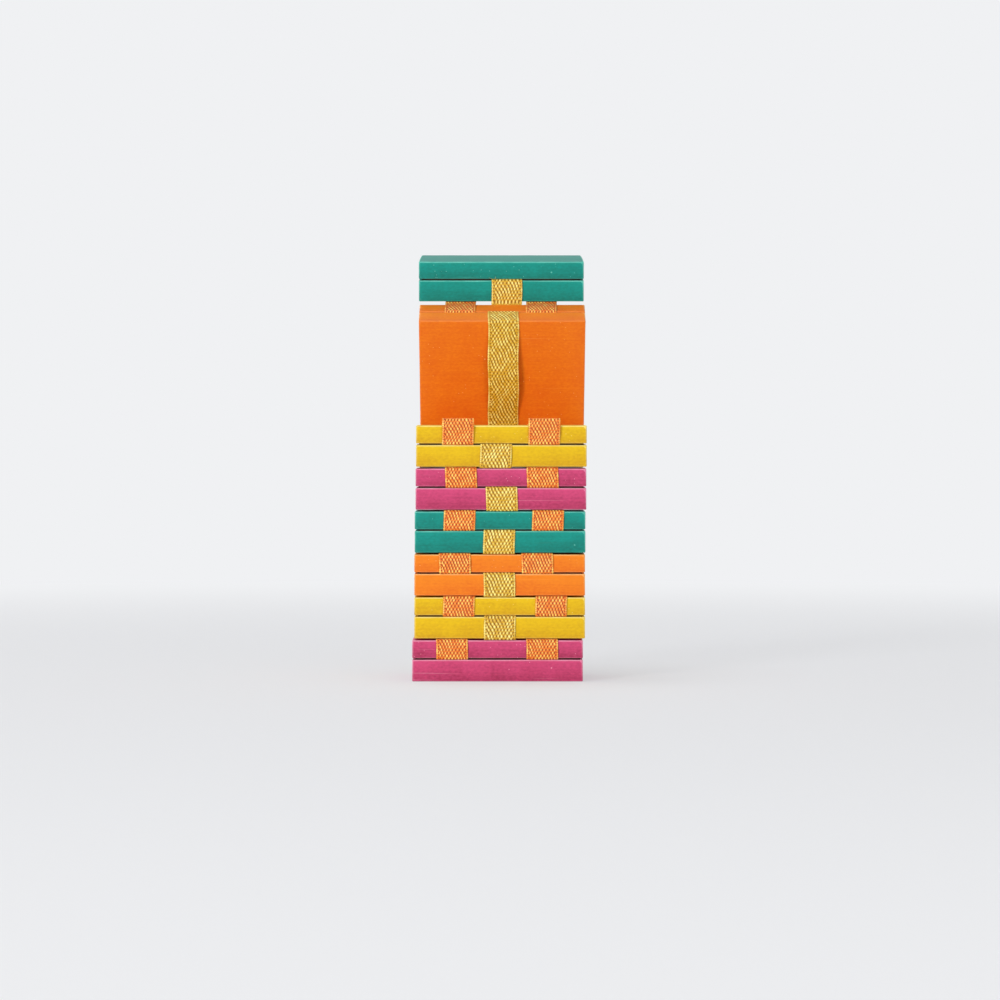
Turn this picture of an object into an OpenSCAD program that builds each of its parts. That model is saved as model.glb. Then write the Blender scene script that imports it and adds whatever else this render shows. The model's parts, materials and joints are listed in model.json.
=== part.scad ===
// Jacobs ladder toy: painted wooden blocks that fold over one another on three woven ribbons.
// Each block is two boards glued together, and the ribbons run through the seam between them.
// Millimetres, Z up, front at -Y. The origin is the middle of the bottom block's underside.

/* [Boards] */
// Width of a board, from left to right
board_w = 40; // [34:0.5:60]
// Depth of a board, from front to back
board_d = 28; // [24:0.5:45]
// Thickness of the upper board of a block
upper_t = 4.2; // [2.5:0.1:8]
// Thickness of the lower board of a block
lower_t = 5.1; // [2.5:0.1:8]
// Width of the eased edge round a board
edge_ease = 0.35; // [0.1:0.05:0.8]

/* [Ribbons] */
// Width of a ribbon
ribbon_w = 7.4; // [5:0.1:8]
// Thickness of a ribbon, and of the seam that it runs through
ribbon_t = 0.35; // [0.2:0.05:0.6]
// Distance of the outer ribbons from the middle of a block
ribbon_offset = 10; // [9.8:0.1:13]
// Length of the ribbon ends that are glued into the top and bottom blocks
tail_l = 16; // [6:0.5:22]

/* [Clearances] */
// Gap between a ribbon on a block's face and the next block
lay_gap = 0.05; // [0.02:0.01:0.3]
// Room between the ribbons of two blocks that lie end to end
end_gap = 0.15; // [0.1:0.05:1]
// Distance from the fold at which a ribbon's flat run begins
turn_gap = 0.3; // [0.2:0.05:1]

/* [Pose] */
// Opening of the top block from the leaning block, in degrees
top_open = 70; // [0:1:180]
// Opening of the leaning block from the stack, in degrees
lean_open = 62; // [0:1:180]

/* [Hidden] */
block_count = 8;
// Blocks are numbered from the top, and link i joins block i to block i + 1.
link_open = [top_open, lean_open, 0, 0, 0, 0, 0];

// Sideways set of each block and, link by link, of each ribbon, as they were laid by hand
block_lay = [0.9, 1.1, 0.9, 0.8, 0.6, 0.5, 0.5, 0];
centre_lay = [2.2, 1.4, -0.4, 1.0, 0.4, 0.4, 0.6];
left_lay = [1.0, 0.7, 1.5, 1.1, 0, 1.0, -0.7];
right_lay = [0.6, 0.9, 0.6, 1.8, -0.7, 2.6, 0.4];

left_x = [for (lay = left_lay) lay - ribbon_offset];
right_x = [for (lay = right_lay) lay + ribbon_offset];

seam_top = lower_t + ribbon_t;
block_t = seam_top + upper_t;
link_gap = ribbon_t + lay_gap;
pitch = block_t + link_gap;
// Hinges lie this far outside the ends of the blocks.
hinge_out = ribbon_t + end_gap / 2;

FRONT = -1;
BACK = 1;

paints = ["#159683", "#f27f22", "#f3cf1f", "#d24c80"];
gold = "#e0b93c";
orange = "#ea6f22";

pieces = ["upper_board", "lower_board", "centre_ribbon", "left_ribbon", "right_ribbon"];

function name(i, piece) = str("block_", i, "_", piece);
function paint(i) = paints[(i - 1) % len(paints)];
function base_z(i) = (block_count - i) * pitch;
function is_odd(i) = i % 2 == 1;

// Odd links fold at the front edge and even links at the back edge.
function hinge_end(link) = is_odd(link) ? FRONT : BACK;
function hinge_at(link) =
    [0, hinge_end(link) * (board_d / 2 + hinge_out), base_z(link) - link_gap / 2];

// Turns everything above a link about its hinge
module opened(link) {
    at = hinge_at(link);
    translate(at)
        rotate([-hinge_end(link) * link_open[link - 1], 0, 0])
            translate(-at)
                children();
}

// Puts a block where its own link and all the links below it leave it
module posed(i, link = block_count - 1) {
    if (link < i)
        translate([0, 0, base_z(i)])
            children();
    else
        opened(link)
            posed(i, link - 1)
                children();
}

// Rectangle a by b with its corners cut, centred
module eased_outline(a, b) {
    u = a / 2;
    v = b / 2;
    e = edge_ease;
    polygon([
        [-u + e, -v], [u - e, -v], [u, -v + e], [u, v - e],
        [u - e, v], [-u + e, v], [-u, v - e], [-u, -v + e]
    ]);
}

// Board with all its edges eased, lying on z = 0
module eased_board(t) {
    translate([0, 0, t / 2])
        intersection() {
            linear_extrude(t, center = true)
                eased_outline(board_w, board_d);
            rotate([90, 0, 90])
                linear_extrude(board_w, center = true)
                    eased_outline(board_d, t);
            rotate([90, 0, 0])
                linear_extrude(board_d, center = true)
                    eased_outline(board_w, t);
        }
}

// Flat run of ribbon at x, between two places in y and two heights
module run(x, y1, y2, z1, z2) {
    translate([x - ribbon_w / 2, min(y1, y2), z1])
        cube([ribbon_w, abs(y2 - y1), z2 - z1]);
}

// Run through the seam, from x1 at one end of the block to x2 at the other
module seam_run(x1, x2, y1, y2) {
    h = ribbon_w / 2;
    edge = board_d / 2;
    e1 = sign(y1) * min(abs(y1), edge);
    e2 = sign(y2) * min(abs(y2), edge);
    translate([0, 0, lower_t])
        linear_extrude(ribbon_t)
            polygon([
                [x1 - h, y1], [x1 - h, e1], [x2 - h, e2], [x2 - h, y2],
                [x2 + h, y2], [x2 + h, e2], [x1 + h, e1], [x1 + h, y1]
            ]);
}

// Length of a ribbon on block i. It rises to the upper face at the rise end and drops to
// the lower face at the other. Where both faces carry it, it lies along them to the next folds.
module ribbon(i, xs, rise) {
    edge = board_d / 2;
    outside = edge + ribbon_t;
    fold = edge - turn_gap;
    tail = edge - tail_l;
    top = i > 1;
    bottom = i < block_count;
    x1 = top ? xs[i - 2] : xs[i - 1];
    x2 = bottom ? xs[i - 1] : xs[i - 2];
    lies_on_faces = rise == hinge_end(i);
    cover = lies_on_faces ? ribbon_t : 0;
    seam_run(x1, x2, top ? rise * outside : -rise * tail, bottom ? -rise * outside : rise * tail);
    if (top) {
        run(x1, rise * edge, rise * outside, lower_t, block_t + cover);
        if (lies_on_faces)
            run(x1, rise * outside, -rise * fold, block_t, block_t + ribbon_t);
    }
    if (bottom) {
        run(x2, -rise * edge, -rise * outside, -cover, seam_top);
        if (lies_on_faces)
            run(x2, -rise * outside, rise * fold, -ribbon_t, 0);
    }
}

module upper_board(i) {
    color(paint(i))
        posed(i)
            translate([block_lay[i - 1], 0, seam_top])
                eased_board(upper_t);
}

module lower_board(i) {
    color(paint(i))
        posed(i)
            translate([block_lay[i - 1], 0, 0])
                eased_board(lower_t);
}

module centre_ribbon(i) {
    color(gold)
        posed(i)
            ribbon(i, centre_lay, BACK);
}

module left_ribbon(i) {
    color(orange)
        posed(i)
            ribbon(i, left_x, FRONT);
}

module right_ribbon(i) {
    color(orange)
        posed(i)
            ribbon(i, right_x, FRONT);
}

for (i = [1 : block_count]) {
    upper_board(i);
    lower_board(i);
    centre_ribbon(i);
    left_ribbon(i);
    right_ribbon(i);
}
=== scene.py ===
"""Jacobs ladder toy: the looks of its painted blocks and woven ribbons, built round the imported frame."""

import json
import math

import bpy
import numpy as np
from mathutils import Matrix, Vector, noise


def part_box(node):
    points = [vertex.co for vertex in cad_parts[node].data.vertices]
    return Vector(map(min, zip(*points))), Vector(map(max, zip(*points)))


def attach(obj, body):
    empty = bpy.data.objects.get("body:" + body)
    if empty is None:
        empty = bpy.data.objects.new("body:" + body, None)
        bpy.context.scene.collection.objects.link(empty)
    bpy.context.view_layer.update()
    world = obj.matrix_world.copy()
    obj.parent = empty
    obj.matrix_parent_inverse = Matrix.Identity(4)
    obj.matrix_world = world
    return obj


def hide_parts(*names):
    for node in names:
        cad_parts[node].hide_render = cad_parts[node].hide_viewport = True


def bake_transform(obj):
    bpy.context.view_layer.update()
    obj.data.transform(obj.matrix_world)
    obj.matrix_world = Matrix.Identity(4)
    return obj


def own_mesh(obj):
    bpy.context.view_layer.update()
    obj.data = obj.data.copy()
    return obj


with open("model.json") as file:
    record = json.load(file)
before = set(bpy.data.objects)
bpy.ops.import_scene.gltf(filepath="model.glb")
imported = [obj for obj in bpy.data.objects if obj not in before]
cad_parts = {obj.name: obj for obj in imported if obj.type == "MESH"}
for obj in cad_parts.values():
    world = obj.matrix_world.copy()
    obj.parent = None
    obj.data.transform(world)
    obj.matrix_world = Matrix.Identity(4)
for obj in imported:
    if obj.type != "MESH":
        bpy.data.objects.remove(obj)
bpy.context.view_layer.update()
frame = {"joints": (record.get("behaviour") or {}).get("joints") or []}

MM = 0.001
FRONT = -1
BACK = 1
# Blocks are numbered from the top, and link i joins block i to block i + 1.
BLOCKS = range(1, 9)
LINKS = range(1, 8)
TOP_LINK = 1
LEANING_LINK = 2
BOTTOM_LINK = 7

# Sizes of a block, read from the two boards of the bottom block, which lies flat
lower_low, lower_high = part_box("block_8_lower_board")
upper_low, upper_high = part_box("block_8_upper_board")
HALF_DEPTH = lower_high.y
LOWER_T = lower_high.z
UPPER_T = upper_high.z - upper_low.z
SEAM_T = upper_low.z - lower_high.z
BLOCK_T = upper_high.z
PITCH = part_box("block_7_lower_board")[0].z
LINK_GAP = PITCH - BLOCK_T

# Rise of the middle of each block above its ends: the wood is a little warped, all one way
WARPS = (0.25, 0.40, 0.42, 0.33, 0.30, 0.30, 0.30, 0.30)
WARP = {block: rise_by * MM for block, rise_by in zip(BLOCKS, WARPS)}


def light_of(colour):
    """Linear colour of a paint or yarn that is written in screen values from 0 to 255."""
    shares = [value / 255 for value in colour]
    return (*[s / 12.92 if s < 0.04045 else ((s + 0.055) / 1.055) ** 2.4 for s in shares], 1.0)


# Camera, lamps and the light all round

CAMERA_PLACE = (0.58 * MM, -664 * MM, 45.2 * MM)
CAMERA_AIM = (0.58 * MM, -14 * MM, 42.5 * MM)
CAMERA_LENS = 100
# Place, width and power of each lamp
LAMPS = {
    "key_lamp": ((-0.62, -0.95, 0.24), 0.28, 6.2),
    "fill_lamp": ((0.5, -1.05, 0.05), 0.6, 3.6),
    "top_lamp": ((-0.15, 0.1, 1.0), 0.6, 3.3),
}
LAMP_AIM = (0, 0, 45 * MM)
STUDIO_LIGHT = 0.4


def facing(place, aim):
    return (Vector(aim) - Vector(place)).to_track_quat("-Z", "Y").to_euler()


def set_camera():
    camera = bpy.data.objects.new("camera", bpy.data.cameras.new("camera"))
    camera.data.lens = CAMERA_LENS
    camera.location = CAMERA_PLACE
    camera.rotation_euler = facing(CAMERA_PLACE, CAMERA_AIM)
    bpy.context.collection.objects.link(camera)
    bpy.context.scene.camera = camera
    bpy.context.scene.view_settings.view_transform = "Standard"


def set_lamps():
    for name, (place, width, power) in LAMPS.items():
        lamp = bpy.data.objects.new(name, bpy.data.lights.new(name, "AREA"))
        lamp.data.size = width
        lamp.data.energy = power
        lamp.location = place
        lamp.rotation_euler = facing(place, LAMP_AIM)
        bpy.context.collection.objects.link(lamp)


def set_world():
    world = bpy.data.worlds.new("studio")
    world.use_nodes = True
    world.node_tree.nodes["Background"].inputs["Color"].default_value = (1, 1, 1, 1)
    world.node_tree.nodes["Background"].inputs["Strength"].default_value = STUDIO_LIGHT
    bpy.context.scene.world = world


# Finishes


class Wire:
    """One output in a finish. Python's operators on it add Math nodes."""

    def __init__(self, finish, socket):
        self.finish = finish
        self.socket = socket

    def math(self, operation, *values):
        sockets = dict(enumerate(values))
        return self.finish.add("ShaderNodeMath", {"operation": operation}, sockets)

    def __add__(self, other):
        return self.math("ADD", self, other)

    def __radd__(self, other):
        return self.math("ADD", other, self)

    def __sub__(self, other):
        return self.math("SUBTRACT", self, other)

    def __rsub__(self, other):
        return self.math("SUBTRACT", other, self)

    def __mul__(self, other):
        return self.math("MULTIPLY", self, other)

    def __rmul__(self, other):
        return self.math("MULTIPLY", other, self)

    def __truediv__(self, other):
        return self.math("DIVIDE", self, other)

    def __lt__(self, other):
        return self.math("LESS_THAN", self, other)

    def __abs__(self):
        return self.math("ABSOLUTE", self)


class Finish:
    """A material, with the nodes that make it."""

    def __init__(self, name):
        self.material = bpy.data.materials.new(name)
        self.material.use_nodes = True
        self.nodes = self.material.node_tree.nodes
        self.links = self.material.node_tree.links
        self.nodes.clear()

    def add(self, kind, settings=None, sockets=None, output=0):
        """Adds a node, sets it, feeds its sockets with values or wires, and gives one of its outputs."""
        node = self.nodes.new(kind)
        for name, value in (settings or {}).items():
            setattr(node, name, value)
        for key, value in (sockets or {}).items():
            if isinstance(value, Wire):
                self.links.new(value.socket, node.inputs[key])
            else:
                node.inputs[key].default_value = value
        return Wire(self, node.outputs[output]) if node.outputs else None

    def attribute(self, name, output="Fac"):
        return self.add("ShaderNodeAttribute", {"attribute_name": name}, output=output)

    def mix(self, share, first, second):
        """Colour that goes from the first to the second as share goes from 0 to 1."""
        sockets = {0: share, 6: first, 7: second}
        return self.add("ShaderNodeMix", {"data_type": "RGBA"}, sockets, output=2)

    def stretched(self, place, scale):
        return self.add("ShaderNodeVectorMath", {"operation": "MULTIPLY"}, {0: place, 1: scale})

    def mottle(self, place, scale, detail):
        """Soft noise from 0 to 1, with its own scale along each direction."""
        sockets = {"Vector": self.stretched(place, scale), "Scale": 1.0, "Detail": detail}
        return self.add("ShaderNodeTexNoise", None, sockets)

    def ramp(self, value, low, high):
        """Share that rises smoothly from 0 to 1 as value goes from low to high."""
        settings = {"interpolation_type": "SMOOTHSTEP"}
        return self.add("ShaderNodeMapRange", settings, {0: value, 1: low, 2: high})

    def specks(self, place, scale, size, share):
        """Round specks, one in some of the cells that the surface is divided into."""
        away = self.add("ShaderNodeTexVoronoi", None, {"Vector": place, "Scale": scale})
        chance = Wire(self, away.socket.node.outputs["Color"])
        return (away < size) * (chance < share)

    def bump(self, height, distance):
        return self.add("ShaderNodeBump", None, {"Height": height, "Distance": distance})

    def surface(self, sockets):
        shader = self.add("ShaderNodeBsdfPrincipled", None, sockets)
        self.add("ShaderNodeOutputMaterial", None, {"Surface": shader})
        return self.material


# These work on the wires of a finish and on arrays alike, so that a weave's yarn has the same
# shape in its finish and in its mesh.


def sine(value):
    return value.math("SINE", value) if isinstance(value, Wire) else np.sin(value)


def larger(first, second):
    if isinstance(first, Wire):
        return first.math("MAXIMUM", first, second)
    return np.maximum(first, second)


def from_nearest(value):
    """How far a value is from the nearest whole number."""
    return value - (value.math("ROUND", value) if isinstance(value, Wire) else np.round(value))


def rise(value, low, high):
    """Share that rises smoothly from 0 to 1 as value goes from low to high."""
    if isinstance(value, Wire):
        return value.finish.ramp(value, low, high)
    t = np.clip((value - low) / (high - low), 0, 1)
    return t * t * (3 - 2 * t)


def between(first, second, share):
    return first * (1 - share) + second * share


# Paints

# Paint, the deeper tone where it lies thick and for the painted shade towards a board's foot, and the
# paler tone where it is rubbed thin and for the painted highlight along the edges
PAINTS = {
    "teal_paint": ((12, 150, 136), (14, 112, 100), (120, 214, 194)),
    "orange_paint": ((247, 138, 26), (231, 106, 20), (255, 196, 124)),
    "yellow_paint": ((236, 194, 14), (206, 152, 16), (255, 238, 146)),
    "magenta_paint": ((214, 74, 122), (160, 44, 80), (242, 168, 194)),
}
# How often the marks in the paint repeat in a millimetre, along a board and across it
GRAIN = (0.04, 1.9, 1.9)
FINE_GRAIN = (0.12, 6.5, 6.5)
MOTTLING = (0.22, 0.22, 0.22)
STIPPLE = (1.2, 2.0, 2.0)
SCRATCHES = (0.035, 3.3, 3.3)
RUBBING = (0.3, 0.6, 0.6)
# Specks: cells in a millimetre, the size of a speck in its cell, and the share of cells that have one
LARGE_SPECKS = {"scale": 0.22, "size": 0.04, "share": 0.5}
SMALL_SPECKS = {"scale": 0.9, "size": 0.09, "share": 0.5}
PAINT_BUMP = 0.05 * MM


def painted_wood(name, paint, deep, pale):
    """Satin paint over sanded wood: grain along the board, brush mottling, specks, rubbed edges with a
    painted highlight, and painted shade towards a board's foot.
    """
    finish = Finish(name)
    plank = finish.attribute("plank", "Vector")
    edge = finish.attribute("edge")
    drop = finish.attribute("drop")
    grain = finish.mottle(plank, GRAIN, 4.0)
    fine_grain = finish.mottle(plank, FINE_GRAIN, 2.0)
    mottling = finish.mottle(plank, MOTTLING, 3.0)
    stipple = finish.mottle(plank, STIPPLE, 3.0)
    scratches = finish.ramp(finish.mottle(plank, SCRATCHES, 1.0), 0.72, 0.77)
    rub = finish.ramp(finish.mottle(plank, RUBBING, 4.0), 0.3, 0.7)
    # Painted highlight: the rubbed paler edges are strongest along a board's top and fade towards its
    # foot, where shade falls.
    worn_and_highlit = finish.ramp(edge, 0.5, 0.85) * (0.55 + rub * 0.45) * (1 - drop * 0.8)
    specks = larger(finish.specks(plank, **LARGE_SPECKS), finish.specks(plank, **SMALL_SPECKS))
    # Painted shade: the paint turns deeper in tone towards the foot of a board, where less light falls.
    deepening_and_shade = (grain - 0.5) * 0.4 + (mottling - 0.5) * 0.5 + (stipple - 0.5) * 0.8 + drop * 0.5
    colour = finish.mix(finish.ramp(deepening_and_shade, -0.15, 0.85), light_of(paint), light_of(deep))
    for mark, strength in ((scratches, 0.2), (worn_and_highlit, 0.95), (specks, 0.6)):
        colour = finish.mix(mark * strength, colour, light_of(pale))
    height = grain * 0.3 + fine_grain * 0.3 + mottling * 0.6 + specks * 0.3
    return finish.surface(
        {
            "Base Color": colour,
            "Roughness": 0.45 + (fine_grain - 0.5) * 0.18 + worn_and_highlit * 0.1,
            "Normal": finish.bump(height, PAINT_BUMP),
            "Specular IOR Level": 0.2,
        }
    )


# Weaves, in millimetres: the spacing of the floats of yarn across and along a ribbon, and the
# length after which they sway the other way
GOLD_WEAVE = {"across": 0.82, "along": 1.46, "turn": 4.2}
ORANGE_WEAVE = {"across": 0.76, "along": 1.35, "turn": 3.1}
# Tones of the gaps, darker weft with painted shade between the floats, of the yarn, and of its shine, a
# painted highlight, and how much of the yarn gleams
GOLD_TONES = {"gap": (122, 76, 0), "yarn": (220, 168, 20), "shine": (255, 245, 146), "gleaming": 0.70}
ORANGE_TONES = {"gap": (156, 44, 0), "yarn": (238, 118, 14), "shine": (255, 220, 108), "gleaming": 0.68}
THREAD_TONES = {"yarn": (217, 166, 42), "shine": (255, 240, 146)}
# Half a float's width, as a share of the spacing, and how fast it thins towards its ends
FLOAT_HALF_W = 0.42
FLOAT_TAPER = 5.4
# Share by which the columns of floats run askew, how far the floats lean and sway, how unevenly
# they sway along a ribbon, and by what share of the spacing they stray
ASKEW = 0.1
LEAN = 0.14
SWAY = 0.28
UNSTEADY = 1.2
STRAY = 0.13
# Where, from the middle of a ribbon, the groove and the corded edge begin, and the cord's twist
GROOVE_BEGINS = (3.0, 3.1)
CORD_BEGINS = (3.3, 3.4)
CORD_TWIST = 0.5
WEAVE_BUMP = 0.06 * MM


def yarn_floats(u, v, weave, set_off, lean):
    """Height of every other row of floats: plump ovals of yarn that lean to one side."""
    stray = sine(v * 1.3 + u * 0.9) * STRAY
    across = from_nearest((u + v * ASKEW) / weave["across"] + stray + set_off)
    along = from_nearest(v / weave["along"] + set_off)
    aside = (across - along * lean) / FLOAT_HALF_W
    return 1 - aside * aside - along * along * FLOAT_TAPER


def relief(u, v, weave):
    """Height of the yarn from 0 to 1 at u across and v along a ribbon, in millimetres.

    Rows of floats fill the middle. A ribbed groove and a twisted cord run along each edge."""
    unsteady = sine(v * 0.37) * UNSTEADY
    lean = sine(v * (math.pi / weave["turn"]) + u * 0.5 + unsteady) * SWAY + LEAN
    one_row = yarn_floats(u, v, weave, 0.0, lean)
    next_row = yarn_floats(u, v, weave, 0.5, lean)
    rows = larger(larger(one_row, next_row), 0.0)
    side = abs(u)
    groove = sine(v * (4 * math.pi / weave["along"])) * 0.25 + 0.35
    cord = sine(v * (2 * math.pi / CORD_TWIST) + side * 5) * 0.1 + 0.8
    return between(between(rows, groove, rise(side, *GROOVE_BEGINS)), cord, rise(side, *CORD_BEGINS))


def woven_ribbon(name, weave, gap, yarn, shine, gleaming):
    """Narrow woven ribbon: leaning floats of yarn between dark gaps, with corded edges. The gaps carry
    painted shade, and the highest floats and glints a painted highlight.
    """
    finish = Finish(name)
    place = finish.add("ShaderNodeUVMap", {"uv_map": "weave"})
    u = finish.add("ShaderNodeSeparateXYZ", None, {0: place})
    v = Wire(finish, u.socket.node.outputs[1])
    height = relief(u, v, weave)
    fibres = finish.mottle(place, (9.0, 2.2, 1.0), 2.0)
    glints = finish.mottle(place, (0.8, 0.5, 1.0), 2.0)
    # Painted shade: the colour falls from the yarn tone to the darker gap tone where the yarn lies low.
    colour = finish.mix(finish.ramp(height, 0.0, 0.5), light_of(gap), light_of(yarn))
    # Painted highlight: the highest floats and random glints are mixed towards the shine tone.
    lit = height + (glints - 0.5) * 1.2 + (fibres - 0.5) * 0.4
    gleam = finish.ramp(lit, 1.25 - gleaming, 1.8 - gleaming)
    colour = finish.mix(gleam, colour, light_of(shine))
    return finish.surface(
        {
            "Base Color": colour,
            "Roughness": 0.6 - gleam * 0.2,
            "Normal": finish.bump(height * 0.8 + fibres * 0.4, WEAVE_BUMP),
            "Sheen Weight": 0.1,
            "Sheen Roughness": 0.4,
        }
    )


def loose_yarn(name, yarn, shine):
    """Single threads of a ribbon, twisted light and dark."""
    finish = Finish(name)
    place = finish.add("ShaderNodeNewGeometry")
    twist = finish.mottle(place, (3000, 3000, 9000), 2.0)
    colour = finish.mix(twist, light_of(yarn), light_of(shine))
    return finish.surface({"Base Color": colour, "Roughness": 0.5 + twist * 0.2, "Sheen Weight": 0.1})


def seam_shade_glue():
    """Glue squeezed between the boards, coloured dark and mottled as painted shade in the seam."""
    finish = Finish("seam_shade_glue")
    place = finish.add("ShaderNodeNewGeometry")
    shade_mottle = finish.mottle(place, (900, 900, 900), 3.0)
    # Painted shade: two dark tones, mottled, stand for the shade inside the seam.
    colour = finish.mix(shade_mottle, light_of((34, 24, 18)), light_of((78, 58, 40)))
    return finish.surface({"Base Color": colour, "Roughness": 0.55 + shade_mottle * 0.3})


# Meshes


def new_piece(name, places, faces, material):
    mesh = bpy.data.meshes.new(name)
    mesh.from_pydata(places.tolist(), [], faces if isinstance(faces, list) else faces.tolist())
    mesh.materials.append(material)
    mesh.shade_smooth()
    piece = bpy.data.objects.new(name, mesh)
    bpy.context.collection.objects.link(piece)
    return piece


def give(mesh, name, kind, values):
    """Stores a value for each vertex, for a finish to read."""
    attribute = mesh.attributes.new(name, kind, "POINT")
    key = "vector" if kind == "FLOAT_VECTOR" else "value"
    attribute.data.foreach_set(key, np.asarray(values, np.float32).ravel())


# Floor

FLOOR_COLOUR = (236, 237, 240)
BACKDROP_COLOUR = (240, 241, 243)
# Distances from the toy between which the floor turns into an even backdrop
BACKDROP_BEGINS = 0.1
BACKDROP_FULL = 0.7
# Radius of the middle of the floor, of the whole floor and of the sweep up to the wall
FLOOR_MIDDLE_R = 0.4
FLOOR_R = 1.6
SWEEP_R = 0.6
WALL_TOP = 1.3
FLOOR_SIDES = 96


def plain_floor():
    """Pale floor that keeps shadows near the toy, and is an even pale backdrop further away."""
    finish = Finish("pale_floor")
    place = finish.add("ShaderNodeNewGeometry")
    away = finish.add("ShaderNodeVectorMath", {"operation": "LENGTH"}, {0: place}, output="Value")
    paths = ("Is Camera Ray", "Is Glossy Ray", "Is Transmission Ray")
    camera, glossy, through = [finish.add("ShaderNodeLightPath", output=path) for path in paths]
    sockets = {"Base Color": light_of(FLOOR_COLOUR), "Roughness": 0.9}
    floor = finish.add("ShaderNodeBsdfPrincipled", None, sockets)
    backdrop = finish.add("ShaderNodeEmission", None, {"Color": light_of(BACKDROP_COLOUR)})
    even = 0.5 + finish.ramp(away, BACKDROP_BEGINS, BACKDROP_FULL) * 0.5
    seen = even * (camera + glossy + through)
    mixed = finish.add("ShaderNodeMixShader", None, {0: seen, 1: floor, 2: backdrop})
    finish.add("ShaderNodeOutputMaterial", None, {"Surface": mixed})
    return finish.material


def make_floor():
    """Round floor that sweeps up into a wall, so that no edge shows from any side."""
    bends = np.linspace(0, math.pi / 2, 13)[1:]
    radii = [FLOOR_MIDDLE_R, FLOOR_R, *(FLOOR_R + SWEEP_R * np.sin(bends)), FLOOR_R + SWEEP_R]
    heights = [0.0, 0.0, *(SWEEP_R * (1 - np.cos(bends))), WALL_TOP]
    angles = np.arange(FLOOR_SIDES) * (2 * math.pi / FLOOR_SIDES)
    places = [(0.0, 0.0, 0.0)]
    for radius, height in zip(radii, heights):
        places += [(radius * math.cos(a), radius * math.sin(a), height) for a in angles]
    faces = []
    for k in range(FLOOR_SIDES):
        follower = (k + 1) % FLOOR_SIDES
        faces.append((0, 1 + k, 1 + follower))
        for ring in range(len(radii) - 1):
            first = 1 + ring * FLOOR_SIDES
            second = first + FLOOR_SIDES
            faces.append((first + k, second + k, second + follower, first + follower))
    floor = new_piece("floor", np.array(places), faces, plain_floor())


# Where the blocks are

folds = {int(joint["name"].split("_")[1]): joint for joint in frame["joints"]}


def open_angle(link):
    """How far a link is open at rest, as a turn about X."""
    return math.radians(-folds[link]["range_deg"][0]) * folds[link]["axis"][0]


def hinge_end(link):
    """Odd links fold at the front edge and even links at the back edge."""
    return FRONT if link % 2 else BACK


def turned(places, at, angles):
    """Places turned about a line along X."""
    y = places[:, 1] - at[1]
    z = places[:, 2] - at[2]
    c = np.cos(angles)
    s = np.sin(angles)
    return np.column_stack([places[:, 0], at[1] + y * c - z * s, at[2] + y * s + z * c])


def warped(places, rise_by):
    """Places in the closed stack, raised towards the middle of the blocks."""
    raised = places.copy()
    raised[:, 2] += rise_by * np.clip(1 - (places[:, 1] / HALF_DEPTH) ** 2, 0, 1)
    return raised


def posed(places, block):
    """Places on a block of the closed stack, moved to where the open links leave the block."""
    for link in reversed(LINKS):
        if link >= block:
            places = turned(places, folds[link]["pos_m"], open_angle(link))
    return places


def base_height(block):
    """Height of a block's underside in the closed stack."""
    return (BLOCKS[-1] - block) * PITCH


# Boards

# Sanded edges of the boards, the band along them where the paint is rubbed paler and a highlight is
# painted, and the size of mesh cells
EDGE_R = 0.25 * MM
EDGE_BENDS = (15, 30, 45)
PALE_EDGE_BAND = 0.8 * MM
BOARD_CELL = 1.3 * MM
# How uneven hand sanding left the faces, and how many hollows there are in a metre
UNEVEN = 0.035 * MM
HOLLOWS = 260
# Vertices of a board's sides that are nearer than this are one
SAME_PLACE = 0.001 * MM


def edge_steps(half):
    """Places along one side of a board, closer together round its edges."""
    inner = half - EDGE_R
    flat = half - PALE_EDGE_BAND
    count = max(2, round(2 * flat / BOARD_CELL))
    rim = [inner, *[inner + EDGE_R * math.tan(math.radians(bend)) for bend in EDGE_BENDS]]
    return np.concatenate([[-t for t in reversed(rim)], np.linspace(-flat, flat, count + 1), rim])


def board_grid(halves):
    """Corner places and faces of a box that is divided for rounding."""
    steps = [edge_steps(half) for half in halves]
    places = []
    faces = []
    for axis in range(3):
        first = (axis + 1) % 3
        second = (axis + 2) % 3
        for side in (-1, 1):
            start = len(places)
            for p in steps[first]:
                for q in steps[second]:
                    place = [0.0, 0.0, 0.0]
                    place[axis] = side * halves[axis]
                    place[first] = p
                    place[second] = q
                    places.append(place)
            width = len(steps[second])
            for i in range(len(steps[first]) - 1):
                for j in range(width - 1):
                    a = start + i * width + j
                    face = (a, a + width, a + width + 1, a + 1)
                    faces.append(face if side > 0 else face[::-1])
    places = np.array(places)
    cells = np.round(places / SAME_PLACE).astype(int)
    _, keep, renumber = np.unique(cells, axis=0, return_index=True, return_inverse=True)
    return places[keep], renumber.ravel()[np.array(faces)]


def sand(places, halves, seed):
    """Rounds a box's edges and leaves its faces a little hollow here and there, as sanding does."""
    inner = np.array(halves) - EDGE_R
    core = np.clip(places, -inner, inner)
    out = places - core
    out /= np.linalg.norm(out, axis=1)[:, None]
    hollow = [noise.noise(Vector(place) * HOLLOWS + seed) for place in places]
    depth = UNEVEN * (0.5 + 0.5 * np.array(hollow))
    return core + out * (EDGE_R - depth)[:, None]


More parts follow.
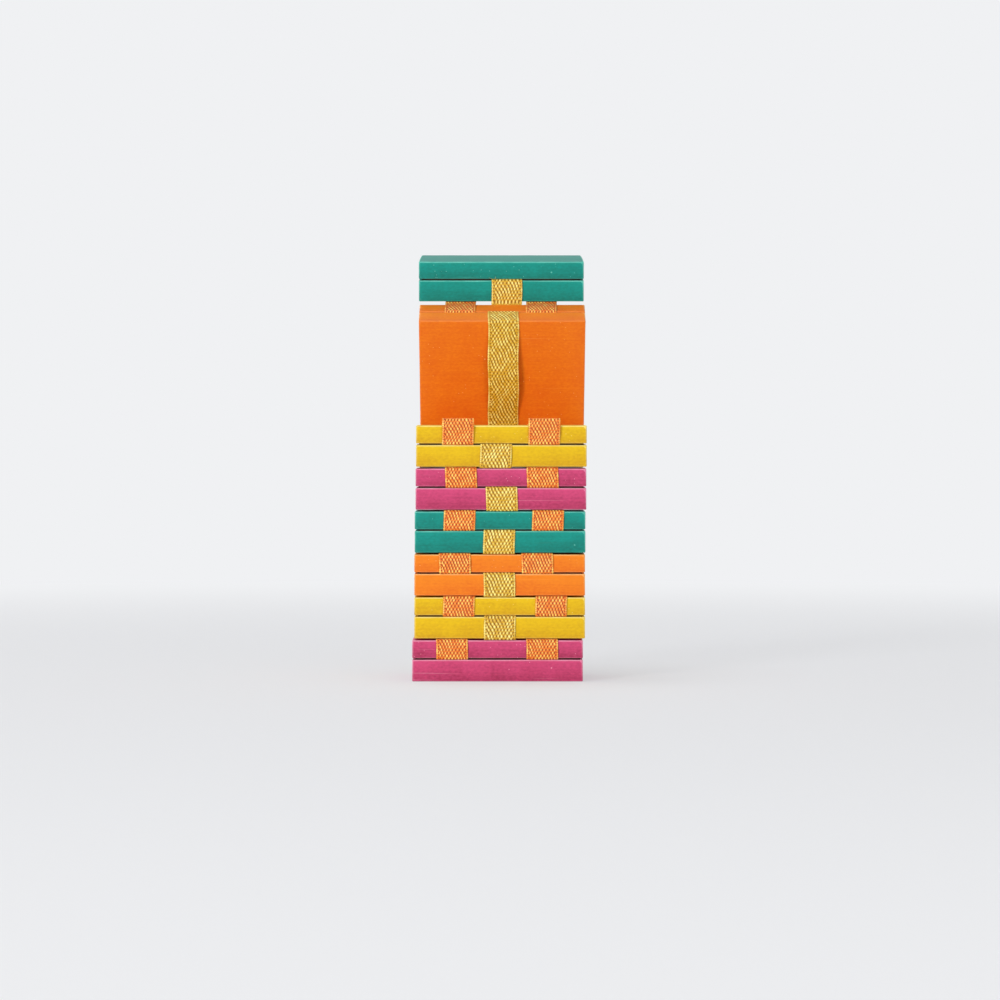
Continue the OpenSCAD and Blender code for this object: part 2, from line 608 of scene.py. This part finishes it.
def make_board(block, part, finish):
    node = f"block_{block}_{part}_board"
    low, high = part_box(node)
    thick = UPPER_T if part == "upper" else LOWER_T
    foot = LOWER_T + SEAM_T if part == "upper" else 0.0
    halves = ((high.x - low.x) / 2, HALF_DEPTH, thick / 2)
    middle = np.array([(low.x + high.x) / 2, 0.0, base_height(block) + foot + thick / 2])
    # The seed sets the board's own stretch of grain and hollows.
    seed = Vector((block * 3.7, 1.3 if part == "upper" else 8.9, block * 0.6))
    grid, faces = board_grid(halves)
    places = posed(warped(sand(grid, halves, seed) + middle, WARP[block]), block)
    board = new_piece(f"painted_{part}_board_{block}", places, faces, finish)
    nearness = np.sort(np.array(halves) - abs(grid), axis=1)[:, 1]
    give(board.data, "plank", "FLOAT_VECTOR", grid / MM + np.array(seed) * 40)
    # Nearness to an edge, which sets the rubbed paler edge and its painted highlight
    give(board.data, "edge", "FLOAT", np.clip(1 - nearness / PALE_EDGE_BAND, 0, 1))
    # Share from a board's top to its foot, which sets the painted shade and fades the painted edge
    # highlight
    give(board.data, "drop", "FLOAT", 0.5 - grid[:, 2] / thick)
    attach(board, f"block_{block}")
    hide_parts(node)


# Glue: how far it stays back from the boards' sides, how deep it bites into them, the steps along
# each side, the share by which it oozes unevenly, and how often that changes in a metre
GLUE_INSET = 0.8 * MM
GLUE_BITE = 0.06 * MM
GLUE_STEPS = 30
GLUE_OOZE = 0.02
OOZE_CHANGES = 500


def make_glue(block, finish):
    """Glue between a block's boards, set back from their ends. It keeps light out of the seam, and its
    dark colour is painted shade there.
    """
    low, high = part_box(f"block_{block}_lower_board")
    middle = (low.x + high.x) / 2
    wide = (high.x - low.x) / 2 - GLUE_INSET
    deep = HALF_DEPTH - GLUE_INSET
    steps = np.linspace(-1, 1, GLUE_STEPS + 1)[:-1]
    sides = [(steps, -1), (1, steps), (-steps, 1), (-1, -steps)]
    rim = np.vstack([np.column_stack(np.broadcast_arrays(x * wide, y * deep)) for x, y in sides])
    spots = [Vector((x * OOZE_CHANGES, y * OOZE_CHANGES, block * 7.3)) for x, y in rim]
    ooze = [1 + GLUE_OOZE * noise.noise(spot) for spot in spots]
    rim = rim * np.array(ooze)[:, None] + (middle, 0)
    count = len(rim)
    foot = base_height(block) + LOWER_T - GLUE_BITE
    top = foot + SEAM_T + 2 * GLUE_BITE
    rings = [np.column_stack([rim, np.full(count, z)]) for z in (foot, top)]
    places = warped(np.vstack([*rings, (middle, 0, foot), (middle, 0, top)]), WARP[block])
    faces = []
    for k in range(count):
        follower = (k + 1) % count
        faces.append((k, follower, count + follower, count + k))
        faces.append((follower, k, 2 * count))
        faces.append((count + k, count + follower, 2 * count + 1))
    glue = new_piece(f"glue_line_{block}", posed(places, block), faces, finish)
    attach(glue, f"block_{block}")


# Ribbons

# Cut width and thickness, the roundness of the edges, and the length of the ends that are glued
# into the top and bottom blocks
RIBBON_W = 7.4 * MM
RIBBON_T = 0.2 * MM
RIBBON_EDGE = 0.35 * MM
GLUED_END = 16 * MM
# Relief of the yarn, the band along the edges where it fades, and the scallops of the edges
YARN_RELIEF = 0.06 * MM
FADE_BAND = 0.2 * MM
SCALLOP = 0.03 * MM
# How far a ribbon wanders to the sides, and over what length
WANDER = 0.09 * MM
WANDER_RUN = 2.3 * MM
# Columns of the mesh on each side of a ribbon, and its rows where they show and inside the seams
COLUMNS = 45
ROW = 0.19 * MM
HIDDEN_ROW = 1.5 * MM
# Slack in the ribbons of the leaning block: the outer ones loop up at the edge below, and the centre one
# hangs off the face
EDGE_LOOP = 1.7 * MM
FACE_SLACK = 1.5 * MM
# Above 1, the centre ribbon hangs lowest a little past the middle of the face.
SAG_SHIFT = 1.1
# Points round a bend, steps along a bulge off an end or a face, and steps between a loop's points
BEND_POINTS = 13
BULGE_STEPS = 20
LOOP_STEPS = 6


class Strand:
    """One of the three ribbons: the end of a block that it leaves by, and what it is made of."""

    def __init__(self, name, leaving, yarn, weave, finish):
        self.name = name
        self.leaving = leaving
        self.yarn = yarn
        self.weave = weave
        self.finish = finish
        self.places = ribbon_places(name)

    def turns_x(self, link):
        """Places across the blocks where a link's ribbon begins, comes out of the upper seam, goes
        into the lower one and ends. It lies askew in the seams, from link to link."""
        here = self.places[link - 1]
        above = (here + self.places[link - 2]) / 2 if link > TOP_LINK else here
        under = (here + self.places[link]) / 2 if link < BOTTOM_LINK else here
        return above, here, here, under


def ribbon_places(strand):
    """Place of a ribbon across the blocks, link by link, read from the CAD's lengths of it."""
    places = []
    for link in LINKS:
        low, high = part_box(f"block_{link}_{strand}_ribbon")
        both = low.x + high.x
        places.append(both - places[-1] if places else both / 2)
    return places


def arc(middle, start, end):
    """Points of a ribbon's middle line round a board's edge, between two directions in degrees."""
    bends = np.radians(np.linspace(start, end, BEND_POINTS))
    reach = EDGE_R + SEAM_T / 2
    return [(middle[0] + reach * math.cos(a), middle[1] + reach * math.sin(a)) for a in bends]


def link_line(link, leaving, bulge, loop, slack):
    """Middle line, as (y, z), of a ribbon from a block's seam to the seam of the block below.

    Both blocks lie closed. The ribbon leaves the upper seam at one end, goes down round the lower
    board, crosses between the blocks and goes down round the next upper board into its seam.
    Slack is how far it hangs off the face that it crosses. A loop is slack that stands up where
    it turns down to that seam."""
    base = base_height(link)
    below = base - LINK_GAP
    half_t = SEAM_T / 2
    edge = HALF_DEPTH - EDGE_R
    outside = HALF_DEPTH + half_t
    start = GLUED_END - HALF_DEPTH if link == TOP_LINK else 0.0
    end = GLUED_END - HALF_DEPTH if link == BOTTOM_LINK else 0.0
    out_top = base + LOWER_T - EDGE_R
    out_foot = base + EDGE_R
    in_top = below - EDGE_R
    in_foot = below - UPPER_T + EDGE_R
    shares = np.linspace(0, 1, BULGE_STEPS + 1)[1:-1]
    swell = np.sin(math.pi * shares) ** 2 * bulge
    line = [(-start, base + LOWER_T + half_t)]
    line += arc((edge, out_top), 90, 0)
    line += [(outside + s, out_top + (out_foot - out_top) * f) for f, s in zip(shares, swell)]
    line += arc((edge, out_foot), 0, -90)
    if slack:
        sag = np.sin(math.pi * shares**SAG_SHIFT) ** 2 * slack
        line += [(edge - 2 * edge * f, base - half_t - s) for f, s in zip(shares, sag)]
    if loop:
        line += slack_loop(below, edge, outside, in_foot, loop)
    else:
        line += arc((-edge, in_top), 90, 180)
        line += [(-outside - s, in_top + (in_foot - in_top) * f) for f, s in zip(shares, swell)]
    line += arc((-edge, in_foot), 180, 270)
    line += [(end, below - UPPER_T - half_t)]
    return np.array(line) * (leaving, 1)


def slack_loop(below, edge, outside, in_foot, height):
    """Slack ribbon that stands up in front of the edge before it turns down to the seam."""
    points = [
        (-edge + 0.3 * MM, below + SEAM_T / 2),
        (-outside, below + SEAM_T / 2 + 0.22 * MM),
        (-outside - 0.03 * MM, below + 0.55 * height),
        (-outside - 0.24 * MM, below + height),
        (-outside - 0.44 * MM, below + 0.6 * height),
        (-outside - 0.42 * MM, below - 0.7 * MM),
        (-outside - 0.18 * MM, below - 2.3 * MM),
        (-outside, in_foot),
    ]
    return smooth(points, LOOP_STEPS)


def smooth(points, steps):
    """Points along a curve through the given ones."""
    points = np.array(points)
    ends = np.vstack([2 * points[0] - points[1], points, 2 * points[-1] - points[-2]])
    found = []
    for before, a, b, after in zip(ends, ends[1:], ends[2:], ends[3:]):
        for t in np.arange(steps) / steps:
            slope_a = (b - before) / 2
            slope_b = (after - a) / 2
            place = a * (1 + 2 * t) * (1 - t) ** 2 + b * t * t * (3 - 2 * t)
            found.append(tuple(place + slope_a * t * (1 - t) ** 2 - slope_b * t * t * (1 - t)))
    return [*found, tuple(points[-1])]


def lengths_along(line):
    """Length along a line at each of its points."""
    return np.concatenate([[0], np.cumsum(np.linalg.norm(np.diff(line, axis=0), axis=1))])


def row_lengths(line):
    """Lengths at which a ribbon's rows lie: close where it shows, and far apart inside the seams."""
    reached = lengths_along(line)
    first = reached[1]
    last = reached[-2]
    hidden = np.linspace(0, first, round(first / HIDDEN_ROW) + 1)[:-1]
    shown = np.linspace(first, last, round((last - first) / ROW) + 1)
    glued = np.linspace(last, reached[-1], round((reached[-1] - last) / HIDDEN_ROW) + 1)[1:]
    return np.concatenate([hidden, shown, glued])


def cross_section():
    """Offsets across a ribbon, and the half thickness there, which rounds off at the edges."""
    u = np.linspace(-RIBBON_W / 2, RIBBON_W / 2, COLUMNS)
    inside = np.clip((RIBBON_W / 2 - abs(u)) / RIBBON_EDGE, 0.08, 1)
    return u, RIBBON_T / 2 * np.sqrt(inside * (2 - inside))


def strip_faces(number, side):
    """Faces of a closed strip, from its vertices' numbers, row by row.

    Each row runs across the outer side and back across the inner side."""
    after = np.roll(number, -1, axis=1)
    faces = [np.stack([number[:-1], number[1:], after[1:], after[:-1]], axis=2).reshape(-1, 4)]
    k = np.arange(COLUMNS - 1)
    for row, turn in ((number[0], 1), (number[-1], -1)):
        cap = np.column_stack([row[k], row[k + 1], row[-2 - k], row[-1 - k]])
        faces.append(cap[:, ::turn])
    faces = np.vstack(faces)
    return faces[:, ::-1] if side > 0 else faces


def ribbon_mesh(line, turns_x, weave, begun, part):
    """Part of a ribbon in the closed stack: vertices, faces, and each vertex's place in the weave."""
    rows = row_lengths(line)
    reached = lengths_along(line)
    y = np.interp(rows, reached, line[:, 0])
    z = np.interp(rows, reached, line[:, 1])
    x = np.interp(rows, reached[[0, 1, -2, -1]], turns_x) + WANDER * np.sin((rows + begun) / WANDER_RUN)
    run = np.column_stack([np.gradient(y, rows), np.gradient(z, rows)])
    run /= np.linalg.norm(run, axis=1)[:, None]
    side = np.sign(line[1, 0] - line[0, 0])
    normal = (np.column_stack([-run[:, 1], run[:, 0]]) * side)[part]
    middle = np.column_stack([x, y, z])[part]
    u, half_t = cross_section()
    grid_u, grid_v = np.meshgrid(u, rows[part] + begun)
    fade = np.clip((RIBBON_W / 2 - abs(grid_u)) / FADE_BAND, 0, 1)
    lift = half_t + relief(grid_u / MM, grid_v / MM, weave) * fade * YARN_RELIEF
    ribs = np.sin(grid_v / MM * (4 * math.pi / weave["along"]))
    scallop = np.sign(grid_u) * (fade < 1) * SCALLOP * ribs
    sheets = []
    for way in (1, -1):
        sheet_x = middle[:, :1] + grid_u + scallop
        sheet_y = middle[:, 1:2] + normal[:, :1] * lift * way
        sheet_z = middle[:, 2:] + normal[:, 1:] * lift * way
        sheets.append(np.stack([sheet_x, sheet_y, sheet_z], axis=2))
    loops = np.concatenate([sheets[0], sheets[1][:, ::-1]], axis=1)
    count, width = loops.shape[:2]
    faces = strip_faces(np.arange(count * width).reshape(count, width), side)
    weave_u = np.concatenate([grid_u, grid_u[:, ::-1]], axis=1).ravel() / MM
    weave_v = np.concatenate([grid_v, grid_v], axis=1).ravel() / MM
    return loops.reshape(-1, 3), faces, np.column_stack([weave_u, weave_v])


# Map for baking: its margin, the shares that a ribbon's length and its two sides take up, and the
# place of the edge that closes the strip
MAP_MARGIN = 0.01
MAP_LENGTH = 0.98
MAP_SIDES = 0.97
MAP_CLOSING = 0.995


def map_weave(mesh, weave_places):
    """Gives a ribbon the map of its weave, and one with both sides laid out flat for baking."""
    corners = np.empty(len(mesh.loops), np.int32)
    mesh.loops.foreach_get("vertex_index", corners)
    drawn = mesh.uv_layers.new(name="weave")
    drawn.uv.foreach_set("vector", weave_places[corners].astype(np.float32).ravel())
    width = 2 * COLUMNS
    v = weave_places[:, 1]
    share_v = MAP_MARGIN + MAP_LENGTH * (v - v.min()) / (v.max() - v.min())
    share_u = MAP_MARGIN + MAP_SIDES * (np.arange(len(v)) % width) / (width - 1)
    flat_u = share_u[corners].reshape(-1, 4)
    closing = flat_u.max(axis=1) - flat_u.min(axis=1) > 0.9
    flat_u[closing] = np.where(flat_u[closing] < 0.5, MAP_CLOSING, flat_u[closing])
    flat = np.column_stack([flat_u.ravel(), share_v[corners]])
    laid = mesh.uv_layers.new(name="OFBake")
    laid.uv.foreach_set("vector", flat.astype(np.float32).ravel())
    mesh.uv_layers.active = drawn


# A flat link's ribbon changes over from block to block by height, a little aslant.
ASLANT = 0.15


def change_over(link, leaving):
    """Where, in the closed stack, a ribbon goes over from a link's upper block to its lower one."""
    end = hinge_end(link)
    edge = end * (HALF_DEPTH - EDGE_R)
    outside = end * (HALF_DEPTH + SEAM_T / 2)
    base = base_height(link)
    if leaving == end:
        return (0.0, outside, base + EDGE_R), (0.0, edge, base - SEAM_T / 2)
    below = base - LINK_GAP
    return (0.0, edge, below + SEAM_T / 2), (0.0, outside, below - EDGE_R)


def follow_shares(places, start, end):
    """Share from 0 to 1 by which each place follows the lower block."""
    way = np.array(end) - np.array(start)
    t = np.clip((places - np.array(start)) @ way / (way @ way), 0, 1)
    return t * t * (3 - 2 * t)


def aslant_end(start, end):
    """End of a change-over that runs nearly straight down from its start."""
    way = np.array([0.0, math.copysign(ASLANT, end[1] - start[1]), -1.0])
    step = (np.array(end) - np.array(start)) @ way / (way @ way)
    return np.array(start) + way * step


def lay_ribbon(name, link, strand, line, begun, part):
    """Makes the part of a link's ribbon that some of its rows cover."""
    places, faces, weave_places = ribbon_mesh(line, strand.turns_x(link), strand.weave, begun, part)
    start, end = change_over(link, strand.leaving)
    shares = follow_shares(places, start, aslant_end(start, end))
    places = warped(places, between(WARP[link], WARP[link + 1], shares))
    rest = turned(posed(places, link + 1), folds[link]["pos_m"], open_angle(link) * (1 - shares))
    laid = new_piece(name, rest, faces, strand.finish)
    map_weave(laid.data, weave_places)
    return laid


def make_loop(link, strand, line, begun):
    """Makes the slack loop of a link's ribbon, and gives the row of the ribbon that it begins at."""
    outside = -strand.leaving * (HALF_DEPTH + SEAM_T / 2)
    rows_y = np.interp(row_lengths(line), lengths_along(line), line[:, 0])
    first_row = int(np.argmax(rows_y * strand.leaving < outside * strand.leaving))
    name = f"slack_{strand.name}_loop_{link}"
    looped = lay_ribbon(name, link, strand, line, begun, slice(first_row, None))
    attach(looped, f"block_{link + 1}")
    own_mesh(looped)
    return first_row


def make_ribbon(link, strand, begun, bulge):
    """Makes a ribbon from a link's upper block to its lower one, and gives its length."""
    loose = link == LEANING_LINK
    loop = EDGE_LOOP if loose and strand.leaving == BACK else 0.0
    slack = FACE_SLACK if loose and strand.leaving == FRONT else 0.0
    line = link_line(link, strand.leaving, bulge, loop, slack)
    rows_end = make_loop(link, strand, line, begun) + 1 if loop else None
    name = f"woven_{strand.name}_ribbon_{link}"
    ribbon = lay_ribbon(name, link, strand, line, begun, slice(None, rows_end))
    start, end = change_over(link, strand.leaving)
    if open_angle(link):
        start = turned(posed(np.array([start]), link + 1), folds[link]["pos_m"], open_angle(link))[0]
        end = posed(np.array([end]), link + 1)[0]
    else:
        end = aslant_end(start, end)
    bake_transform(ribbon)
    replaced = [f"block_{link}_{strand.name}_ribbon"]
    if link == BOTTOM_LINK:
        replaced.append(f"block_{link + 1}_{strand.name}_ribbon")
    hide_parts(*replaced)
    return lengths_along(line)[-1]


# Threads in millimetres: place from the ribbon's middle, sideways lean, height and curl
THREADS = (
    (-3.5, -0.55, 0.8, 0.4),
    (-3.0, 0.4, 0.6, 1.9),
    (-2.5, -0.3, 1.0, 3.1),
    (3.4, 0.45, 0.55, 0.9),
)
THREAD_R = 0.04 * MM
THREAD_RINGS = 12
THREAD_SIDES = 6
THREAD_CURL = 0.14


def make_loose_threads(finish):
    """Fine threads that have worked loose where the gold ribbon leaves the top block's seam."""
    x = ribbon_places("centre")[0]
    seam = base_height(BLOCKS[0]) + LOWER_T + SEAM_T / 2
    s = np.linspace(0, 1, THREAD_RINGS)
    turns = np.arange(THREAD_SIDES) * (2 * math.pi / THREAD_SIDES)
    places = []
    faces = []
    for aside, lean, height, curl in THREADS:
        curled = THREAD_CURL * np.sin(5 * s + curl) - THREAD_CURL * math.sin(curl)
        line_x = x + (aside + lean * s + curled) * MM
        line_y = -HALF_DEPTH - (0.1 + 0.3 * np.sin(2.2 * s + 0.3 * curl)) * MM
        line_z = seam + (height * s - 0.25 * s * s) * MM
        thin = THREAD_R * np.clip(1.4 - s, 0.4, 1)
        start = len(places)
        for k in range(THREAD_RINGS):
            for turn in turns:
                ring_x = line_x[k] + thin[k] * math.cos(turn)
                places.append((ring_x, line_y[k] + thin[k] * math.sin(turn), line_z[k]))
        for k in range(THREAD_RINGS - 1):
            for j in range(THREAD_SIDES):
                a = start + k * THREAD_SIDES + j
                b = start + k * THREAD_SIDES + (j + 1) % THREAD_SIDES
                faces.append((a, b, b + THREAD_SIDES, a + THREAD_SIDES))
        last = start + (THREAD_RINGS - 1) * THREAD_SIDES
        faces.append(tuple(start + j for j in reversed(range(THREAD_SIDES))))
        faces.append(tuple(last + j for j in range(THREAD_SIDES)))
    threads = new_piece("loose_threads", posed(np.array(places), BLOCKS[0]), faces, finish)
    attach(threads, f"block_{BLOCKS[0]}")


def make_blocks():
    finishes = [(paint, painted_wood(f"{paint}_on_wood", *tones)) for paint, tones in PAINTS.items()]
    glue = seam_shade_glue()
    for block in BLOCKS:
        paint, finish = finishes[(block - 1) % len(finishes)]
        make_board(block, "upper", finish)
        make_board(block, "lower", finish)
        make_glue(block, glue)


def make_ribbons():
    gold = woven_ribbon("gold_weave", GOLD_WEAVE, **GOLD_TONES)
    orange = woven_ribbon("orange_weave", ORANGE_WEAVE, **ORANGE_TONES)
    strands = [
        Strand("centre", FRONT, "gold_ribbon", GOLD_WEAVE, gold),
        Strand("left", BACK, "orange_ribbon", ORANGE_WEAVE, orange),
        Strand("right", BACK, "orange_ribbon", ORANGE_WEAVE, orange),
    ]
    for number, strand in enumerate(strands):
        begun = 0.0
        for link in LINKS:
            # Each ribbon bulges a little differently off the ends of the blocks.
            bulge = (0.10 + 0.07 * math.sin(2.4 * link + 1.9 * number)) * MM
            begun += make_ribbon(link, strand, begun, bulge)


set_camera()
set_world()
make_floor()
set_lamps()
make_blocks()
make_ribbons()
make_loose_threads(loose_yarn("gold_thread", **THREAD_TONES))
